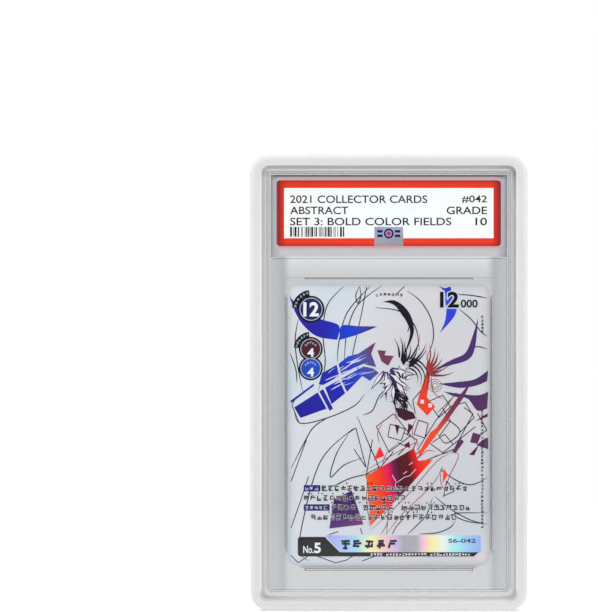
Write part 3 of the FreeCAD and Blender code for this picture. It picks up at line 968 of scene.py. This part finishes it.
def art_lines():
    """Line drawing: sweeping arcs and the edges of large facets."""
    arcs = [
        [(17.6, 0.6), (12.4, 6.4), (10.9, 15.0), (11.6, 25.2), (9.4, 33.6)],
        [(25.8, 0.6), (18.6, 8.8), (16.0, 17.6), (15.4, 24.4)],
        [(29.2, 0.6), (21.6, 6.8), (18.4, 15.4), (17.6, 24.2)],
        [(22.4, 0.8), (21.2, 3.4), (21.8, 6.0), (22.8, 3.6), (22.4, 0.8)],
        [(37.4, 2.2), (41.6, 5.6), (44.8, 11.2), (45.4, 17.4), (43.2, 23.6)],
        [(27.4, 7.4), (35.0, 8.6), (39.8, 13.4), (41.0, 20.8)],
        [(3.2, 11.0), (2.2, 17.6), (3.0, 25.4), (4.6, 33.8)],
        [(0.6, 21.6), (2.4, 26.6), (2.8, 31.0)],
        [(52.8, 3.2), (57.4, 3.6), (62.3, 4.4)],
        [(53.6, 8.0), (57.0, 10.8), (60.4, 15.0), (62.3, 16.4)],
        [(56.6, 20.4), (59.4, 19.6), (62.3, 20.4)],
        [(1.0, 57.6), (5.4, 49.0), (8.2, 44.6), (13.2, 41.4)],
        [(21.6, 41.4), (25.4, 50.4), (28.4, 57.6), (31.2, 68.8), (30.8, 78.2)],
        [(20.4, 45.2), (12.8, 51.8), (8.8, 58.6), (5.4, 70.8), (3.4, 83.0), (6.4, 86.6)],
        [(18.8, 47.2), (15.2, 53.0), (13.2, 60.4), (17.6, 56.6), (23.8, 54.2)],
        [(13.6, 63.6), (19.4, 60.8), (26.2, 59.2)],
        [(45.8, 66.4), (50.8, 70.4), (57.0, 73.8), (62.3, 75.2)],
        [(47.6, 58.0), (52.6, 61.4), (57.4, 62.8), (62.3, 60.6)],
        [(41.0, 78.2), (46.6, 77.8), (50.6, 76.2), (52.2, 74.2)],
        [(37.4, 78.2), (40.4, 75.4), (43.4, 72.0), (45.2, 66.8)],
        [(2.0, 40.2), (4.0, 43.6), (12.0, 42.0), (20.6, 38.2), (23.8, 34.6)],
        [(23.4, 41.0), (26.4, 39.6), (28.4, 35.2), (30.6, 33.0)],
        [(60.8, 75.0), (55.2, 74.0), (52.0, 71.8), (62.3, 71.6)],
        [(46.8, 44.4), (49.8, 42.6), (53.8, 46.2), (49.4, 49.8), (46.6, 46.6)],
    ]
    edges = [
        [(2.4, 35.6), (1.2, 38.0), (3.4, 43.2)],
        [(24.6, 0.8), (23.0, 9.2), (20.2, 21.8), (22.2, 27.4)],
        [(36.4, 0.8), (33.6, 3.4)],
        [(38.6, 11.4), (37.4, 15.0)],
        [(27.6, 44.6), (33.0, 40.6), (38.4, 47.4), (31.6, 52.6), (27.6, 44.6)],
        [(40.6, 56.2), (52.0, 51.6), (57.8, 40.6), (55.0, 38.6)],
        [(39.8, 55.4), (44.0, 49.6), (48.4, 52.8), (58.6, 44.6)],
        [(6.4, 60.2), (4.0, 67.6), (0.9, 76.4)],
        [(0.9, 61.8), (3.8, 54.0), (5.8, 48.6)],
        [(26.4, 48.6), (24.4, 60.4), (25.0, 61.6)],
        [(7.2, 84.4), (3.2, 87.2), (0.8, 84.8)],
        [(8.8, 85.0), (14.8, 87.2), (18.2, 86.4), (21.0, 84.6)],
        [(23.2, 86.6), (28.6, 84.6), (30.4, 85.2)],
        [(17.4, 47.6), (21.2, 45.0), (24.4, 57.4), (20.6, 51.6)],
        [(48.6, 66.6), (49.6, 61.6), (52.0, 64.8), (48.8, 66.2)],
        [(15.8, 77.4), (12.8, 78.4)],
        [(22.6, 76.4), (23.2, 78.2)],
        [(38.0, 71.0), (33.6, 76.2), (32.6, 78.2)],
        [(44.6, 48.6), (37.0, 56.4)],
        [(52.6, 34.0), (46.0, 43.0), (40.4, 52.0)],
        [(33.0, 52.4), (29.2, 57.0), (24.4, 59.4)],
        [(48.2, 38.6), (50.8, 42.8), (47.2, 47.8)],
        [(41.8, 33.0), (39.0, 36.4), (39.8, 40.6)],
        [(32.0, 43.8), (36.6, 45.4), (35.4, 49.0), (31.2, 47.8), (32.0, 43.8)],
        [(43.8, 36.8), (48.4, 34.8), (50.8, 38.4), (47.2, 41.8), (43.8, 36.8)],
        [(50.8, 38.4), (55.4, 37.0), (58.2, 41.8), (53.8, 46.4)],
        [(40.8, 42.6), (43.8, 43.6), (42.8, 48.2), (39.4, 47.0), (40.8, 42.6)],
        [(36.4, 46.6), (40.4, 48.8), (38.8, 52.2)],
        [(59.2, 40.4), (62.2, 45.8), (60.0, 47.0)],
        [(45.0, 49.6), (49.0, 47.0), (51.6, 50.2)],
        [(34.2, 49.6), (37.0, 50.8), (34.4, 53.6)],
        [(52.4, 36.6), (50.0, 41.0), (45.6, 48.2)],
    ]
    curves = [stroke(CARD.points(smooth(line)), 0.34, 0.45, 0.3) for line in arcs]
    for radius in (0.8, 1.4, 2.1):
        curves += circle_line(CARD.at(45.9, 31.8), radius - 0.16, radius)
    sides = []
    for edge in edges:
        for a, b in zip(edge, edge[1:]):
            sides.append(stroke(CARD.points((a, b)), 0.29))
    return curves + sides


def art_highlights(rng):
    """Pale lines over the slabs and the dark part of the block."""
    lines = [
        [(34.2, 62.0), (36.4, 60.4), (38.0, 60.0), (40.0, 57.9)],
        [(36.0, 59.4), (37.2, 58.6)],
        [(37.8, 56.6), (39.0, 55.8)],
        [(32.6, 59.8), (33.8, 61.8), (33.5, 63.2), (35.2, 65.2)],
    ]
    thin = [stroke(CARD.points(line), 0.2) for line in lines]
    return thin + sweeps(rng, (10.4, 31.2), (28.2, 23.4), 26, 6.4, (0.14, 0.3))


def card_art():
    """The art in its layers. Its random parts share one seed, so they are made in a fixed order."""
    rng = random.Random(7)
    shades, lights = crystals(rng, (33.6, 29.4), (190, 330), 7, 2.6, (4.0, 8.0), (1.1, 2.0))
    facets, facet_lights = crystals(rng, (35.4, 30.4), (20, 160), 5, 1.6, (2.6, 4.6), (1.0, 1.7))
    upper = thorns(rng, (34.8, 28.0), (28, 92), 9, 4.4, (5.0, 9.6), (0.5, 1.0), 9)
    lower = thorns(rng, (31.8, 33.4), (-72, 14), 11, 1.6, (4.0, 8.4), (0.45, 0.95), -12)
    sparks = thorns(rng, (42.8, 28.2), (-12, 82), 10, 1.6, (4.0, 8.8), (0.5, 0.95), 12)
    shards, shard_lights = crystals(rng, (30.8, 26.2), (236, 352), 7, 2.4, (4.4, 8.6), (0.9, 1.7))
    folds = thorns(rng, (37.6, 37.0), (100, 262), 12, 0.9, (2.6, 5.4), (0.35, 0.8), 16)
    arches = hoops((37.4, 29.6), (3.2, 4.3, 5.4, 6.5), (96, -30), 0.56)
    plum = [card_shape((14.3, 67.4), (19.9, 64.6), (23.6, 75.2), (12.9, 76.5)), *shards]
    column, gaps = art_column()
    layers = [("violet", art_violet(), 1), ("crescent", art_crescent(), 1), ("slabs", art_slabs(), 1),
              ("streak", art_streak(), 1), ("red", art_red(), 2), ("column", column, 2), ("plum", plum, 2),
              ("blade", art_blade(), 3), ("spark", sparks, 4),
              ("dark", shades + facets + upper + lower + arches + folds + art_dark(), 5),
              ("pale", lights + facet_lights + shard_lights[::2] + gaps + art_highlights(rng), 6)]
    inks = art_inks()
    for name, outlines, level in layers:
        plates("card_art_" + name, outlines, CARD, level, inks[name])
    plates("card_art_lines", art_lines(), CARD, 0, ink("art_line", (26, 26, 32)))
    plates("card_art_red_lines", art_red_lines(), CARD, 4, ink("art_red_line", (168, 52, 56)))


def art_red_lines():
    """Thin red lines that follow the block and the column."""
    lines = [
        [(23.2, 59.0), (39.0, 50.0), (40.4, 51.0)],
        [(26.4, 76.6), (37.2, 66.2), (46.4, 55.6), (50.2, 53.4)],
        [(30.6, 78.4), (36.0, 71.6), (44.8, 63.2), (48.4, 57.0)],
        [(48.4, 57.0), (47.6, 60.8), (48.8, 64.0), (50.6, 59.8), (53.2, 53.0), (45.6, 53.8)],
        [(40.6, 54.6), (43.4, 52.2), (46.2, 52.4)],
        [(39.6, 49.6), (38.8, 45.4), (40.4, 41.6)],
        [(29.4, 57.0), (30.8, 53.0), (34.2, 50.0)],
        [(28.6, 49.8), (28.0, 46.4), (29.6, 43.6)],
        [(24.8, 62.0), (24.6, 68.0), (25.8, 77.0)],
        [(29.4, 70.8), (31.2, 74.2), (28.8, 78.6)],
        [(46.4, 40.6), (52.4, 34.6)],
        [(44.6, 27.0), (45.4, 33.6), (48.6, 36.2)],
    ]
    return [stroke(smooth(CARD.points(line), 4), 0.24, 0.4, 0.3) for line in lines]


# ---------------------------------------------------------------- the card's face: badges, numbers and rows

def card_number(text, left, right, top, base, bold):
    """A word for lettering(), from its edges on the card."""
    (x0, z1), (x1, z0) = CARD.points(((left, top), (right, base)))
    return text, x0, x1, z0, z1, bold


def card_badges():
    """Three round badges down the left edge, two of them with a banner of tiny marks."""
    badges = [("navy", (7.2, 7.9), 4.2, (34, 34, 92), "12"), ("plum", (7.1, 20.3), 3.75, (84, 30, 44), "4"),
              ("blue", (7.1, 26.4), 3.75, (34, 80, 196), "4")]
    rim, core, banner = 0.86, 0.79, 1.42       # outer edges, as shares of the badge's radius
    rng = random.Random(3)
    numbers, blacks, rims, ticks, tiny = [], [], [], [], []
    for name, centre, radius, colour, number in badges:
        middle = CARD.at(*centre)
        blacks.append(disc(middle, radius))
        rims.append(disc(middle, radius * rim))
        fill = ink("badge_" + name, colour)
        plates("card_badge_" + name, [disc(middle, radius * core)], CARD, TEXT + 2, fill)
        single = len(number) == 1
        half, drop, rise = (0.28, 0.68, 0.06) if single else (0.58, 0.54, 0.54)
        numbers.append((number, middle[0] - half * radius, middle[0] + half * radius,
                        middle[1] - drop * radius, middle[1] + rise * radius, 0.035))
        if single:
            for x, z in arc(middle, radius * 0.46, 150, 30, 4):
                tiny += nonsense_glyph(rng, x - 0.4, z - 0.1, 0.7)
        if name != "blue":
            blacks.append(band(middle, radius, radius * banner, 96, 176))
            for x, z in arc(middle, radius * 1.2, 104, 169, 5):
                ticks += nonsense_glyph(rng, x - 0.35, z - 0.35, 0.75)
    pale = ink("badge_rim", (178, 188, 206))
    plates("card_badge_rings", blacks, CARD, TEXT, ink("badge_black", (14, 16, 26)))
    plates("card_badge_rims", rims, CARD, TEXT + 1, pale)
    plates("card_badge_ticks", strokes(ticks, 0.16), CARD, TEXT + 1, pale)
    plates("card_badge_tiny_marks", strokes(tiny, 0.12), CARD, TEXT + 3, pale)
    lettering("card_badge_numbers", numbers, CARD, TEXT + 3, ink("badge_white", (240, 244, 252)))


def card_power_number():
    """The large number at the top right, on a pale halo."""
    words = [card_number("12", 47.5, 53.4, 2.4, 7.4, 0.03), card_number("000", 54.0, 59.3, 4.9, 7.4, 0.02)]
    halo = [card_number("12", 47.15, 53.75, 2.05, 7.75, 0.085)]
    lettering("card_number_halo", halo, CARD, TEXT, ink("number_halo", (206, 210, 226)))
    lettering("card_power_number", words, CARD, TEXT + 1, ink("card_number", (10, 10, 12)))


def card_rows():
    """Four rows of nonsense glyphs on pale halos, with blue tags at the start of the first and the third."""
    rng = random.Random(19)
    size, pitch, tag_height = 1.95, 2.0, 2.0
    lines, small = [], []
    for base, left, right in ((64.8, 10.4, 57.6), (67.9, 4.9, 37.0), (70.8, 13.4, 57.6), (73.8, 4.9, 54.4)):
        (x0, z), (x1, _) = CARD.points(((left, base), (right, base)))
        lines += glyph_row(rng, x0, x1, z, size, pitch)
        small += glyph_row(rng, x0, x1, z + size + 0.2, 0.55, 1.1, 0.72)
    tags, marks = [], []
    for base, left, right in ((64.8, 4.9, 10.1), (70.8, 4.9, 13.0)):
        (x0, z), (x1, _) = CARD.points(((left, base + 0.1), (right, base)))
        tags.append(rectangle(x0, x1, z, z + tag_height, 0.25))
        marks += glyph_row(rng, x0 + 0.35, x1 - 0.2, z + 0.35, 1.3, 1.45, 0)
    black = ink("card_row", (16, 17, 20))
    plates("card_row_halos", strokes(lines, 0.56), CARD, TEXT, ink("row_halo", (211, 211, 217)))
    plates("card_text_rows", strokes(lines, 0.3) + strokes(small, 0.17), CARD, TEXT + 1, black)
    plates("card_row_tags", tags, CARD, TEXT + 1, ink("row_tag", (46, 50, 118)))
    plates("card_row_tag_marks", strokes(marks, 0.18), CARD, TEXT + 2, ink("tag_mark", (206, 210, 232)))
    plates("card_small_print", strokes(small_print(rng), 0.17), CARD, TEXT + 1, black)


def small_print(rng):
    """Two columns of tiny marks down the right edge, and a short row at the top."""
    column, tall, pitch = 60.3, 0.9, 1.16
    lines = []
    for top, bottom in ((9.8, 15.8), (39.4, 76.6)):
        (x, at), (_, end) = CARD.points(((column, top), (column, bottom)))
        while at - tall > end:
            lines += nonsense_glyph(rng, x, at - tall, 0.85)
            at -= pitch
    for i in range(7):
        x, z = CARD.at(27.4 + 1.25 * i, 3.6 + 0.12 * abs(i - 3))
        lines += nonsense_glyph(rng, x, z, 0.95)
    return lines


def card_name_bar():
    """The dark tag left of the foil strip, the thin bar under the strip, and what is printed on all three."""
    x0, z1 = CARD.at(3.05, 79.1)
    z0 = STRIP.low.z - 1.3
    slant_top, slant_low, end = (CARD.at(u, 0)[0] for u in (11.5, 16.2, 59.6))
    bar = [(x0 + 0.6, z0), (end - 1.5, z0), (end, STRIP.low.z), (slant_low, STRIP.low.z), (slant_top, z1),
           (x0 + 0.5, z1), (x0, z1 - 0.5), (x0, z0 + 0.6)]
    plates("card_name_bar", [bar], CARD, TEXT + 1, ink("name_bar", (5, 5, 5)))
    white = ink("name_bar_white", (238, 240, 244))
    words = [("No.", x0 + 1.7, x0 + 4.9, z0 + 1.0, z0 + 3.3, 0.02),
             ("5", x0 + 5.1, x0 + 7.2, z0 + 1.0, z0 + 4.3, 0.035)]
    lettering("card_level_number", words, CARD, TEXT + 2, white)
    rng = random.Random(23)
    small = glyph_row(rng, slant_low + 9.6, end - 2.0, z0 + 0.24, 0.84, 0.98, 0.12)
    plates("card_bar_marks", strokes(small, 0.16), CARD, TEXT + 2, white)

    title, first, title_pitch = [], STRIP.low.x + 4.9, 3.72
    for i in range(5):
        title += nonsense_glyph(rng, first + title_pitch * i, STRIP.low.z + 0.95, 2.9)
    plates("strip_title_glyphs", strokes(title, 0.7), STRIP, 0, ink("strip_glyph", (16, 14, 40)))
    right = STRIP.high.x - 1.6
    words = [("S6-042", right - 8.6, right, STRIP.high.z - 2.35, STRIP.high.z - 1.05, 0.025)]
    lettering("strip_number", words, STRIP, 0, ink("strip_number", (30, 60, 84)))


# ---------------------------------------------------------------- CAD nodes

def dress_nodes():
    """Gives every CAD node its finished material."""
    finishes = {
        "bumper_guard": guard_elastomer(),
        "front_shell": clear_polystyrene("clear_front", (0.995, 0.998, 1.0, 1)),
        "rear_shell": clear_polystyrene("clear_rear", rear_painted_shade),
        "trading_card": card_stock(),
        "card_foil_strip": rainbow_foil(),
        "front_label": front_leaf(),
        "rear_label": rear_leaf(),
        "front_foil_seal": silver_foil(),
        "rear_hologram_seal": shield_foil(),
    }
    for name, material in finishes.items():
        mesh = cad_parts[name].data
        mesh.materials.clear()
        mesh.materials.append(material)


# ---------------------------------------------------------------- studio

def floor():
    """A pale round floor that fades into the white studio.

    It doesn't show through the clear plastic, and the studio lights the guard from below through it.
    """
    reach, fade_from, fade_to = 1.5, 0.25, 0.9
    bm = bmesh.new()
    bmesh.ops.create_circle(bm, cap_ends=True, cap_tris=False, segments=96, radius=reach)
    mesh = bpy.data.meshes.new("floor")
    bm.to_mesh(mesh)
    bm.free()
    ground = bpy.data.objects.new("floor", mesh)
    ground.location.z = cad_low.z - 0.02 * MM
    bpy.context.scene.collection.objects.link(ground)
    material, tree, shader, output = new_material("floor", Roughness=0.7)
    tint_and_shade = ramp(tree, noise(tree, 3.0), [(0.3, 0.92), (0.7, 0.94)])
    tree.links.new(tint_and_shade, shader.inputs["Base Color"])
    away = node(tree, "VectorMath", {0: position(tree)}, operation="LENGTH").outputs["Value"]
    clear = node(tree, "BsdfTransparent")
    values = {0: spread(tree, away, fade_from, fade_to), 1: shader.outputs["BSDF"], 2: clear.outputs["BSDF"]}
    tree.links.new(node(tree, "MixShader", values).outputs["Shader"], output.inputs["Surface"])
    mesh.materials.append(material)
    ground.visible_transmission = False
    ground.visible_diffuse = False


def studio_world():
    """White to the camera, and a soft sky to what it lights.

    The clear shells show a bright panel straight behind them, and round it a room that is dark near the
    floor, which draws their upper walls and bevels as darker lines. What they mirror straight back is dark.
    """
    world = bpy.data.worlds.new("studio")
    bpy.context.scene.world = world
    world.use_nodes = True
    tree = world.node_tree
    tree.nodes.clear()
    toward = node(tree, "SeparateXYZ", {"Vector": node(tree, "TexCoord").outputs["Generated"]}).outputs
    height = spread(tree, toward["Z"], -1, 1)
    sky = ramp(tree, height, [(0.0, 1.0), (0.44, 1.12), (0.56, 1.17), (1.0, 1.14)])
    square_on = spread(tree, maths(tree, "ABSOLUTE", toward["Y"]), 0.93, 0.98)
    path = node(tree, "LightPath").outputs
    steep = spread(tree, toward["Z"], -0.35, 0.35)
    room = ramp(tree, steep, [(0.0, 0.25), (0.5, 0.85), (1.0, 0.97)])
    seen = mix(tree, square_on, room, 0.9)
    in_front = maths(tree, "LESS_THAN", toward["Y"], 0.0)
    mirrored = mix(tree, maths(tree, "MULTIPLY", square_on, in_front), room, 0.08)
    sharp = mix(tree, maths(tree, "GREATER_THAN", path["Glossy Depth"], 0.5), seen, mirrored)
    colour = mix(tree, maths(tree, "GREATER_THAN", path["Diffuse Depth"], 0.5), sharp, sky)
    colour = mix(tree, path["Is Camera Ray"], colour, 1.0)
    background = node(tree, "Background", {"Color": colour, "Strength": 1.0})
    node(tree, "OutputWorld", {"Surface": background.outputs["Background"]})


def softbox(name, location, target, size, power):
    """A soft area light that faces a point, and that the clear shells don't show."""
    data = bpy.data.lights.new(name, "AREA")
    data.shape = "RECTANGLE"
    data.size, data.size_y = size
    data.energy = power
    lamp = bpy.data.objects.new(name, data)
    lamp.location = location
    lamp.rotation_euler = (Vector(target) - Vector(location)).to_track_quat("-Z", "Y").to_euler()
    lamp.visible_transmission = False
    bpy.context.scene.collection.objects.link(lamp)


def lights():
    middle = (cad_low + cad_high) / 2
    softbox("key", (-0.7, -0.9, 0.9), middle, (0.7, 0.7), 3.95)
    softbox("fill", (0.65, -1.05, 0.12), middle, (0.7, 0.7), 3.3)
    softbox("top", (0.0, -0.1, 1.1), middle, (0.9, 0.9), 0.2)
    softbox("back", (0.2, 0.9, 0.7), middle, (0.8, 0.8), 3.0)


def camera():
    """A long lens, straight on. The slab stands to the right of the picture's middle and near its bottom."""
    scale_mm = 190.95                      # height of the picture in the plane of the guard's front
    centre_x, centre_z = -28.07, 95.1      # the picture's middle in that plane
    data = bpy.data.cameras.new("camera")
    data.lens = 300
    data.sensor_width = 36
    data.clip_start, data.clip_end = 0.05, 20
    distance = scale_mm * data.lens / data.sensor_width
    eye = bpy.data.objects.new("camera", data)
    eye.location = (centre_x * MM, cad_low.y - distance * MM, centre_z * MM)
    eye.rotation_euler = (math.radians(90), 0, 0)
    bpy.context.scene.collection.objects.link(eye)
    bpy.context.scene.camera = eye


def light_paths():
    """Enough bounces for light to leave the clear shells' walls instead of ending black in them."""
    cycles = bpy.context.scene.cycles
    cycles.max_bounces = 32
    cycles.transmission_bounces = 32
    cycles.glossy_bounces = 16
    cycles.transparent_max_bounces = 32
    bpy.context.scene.view_settings.view_transform = "Standard"


camera()
studio_world()
lights()
light_paths()
floor()
dress_nodes()
front_label_print()
seal_print()
rear_label_print()
shield_print()
card_back_print()
card_art()
card_badges()
card_power_number()
card_rows()
card_name_bar()
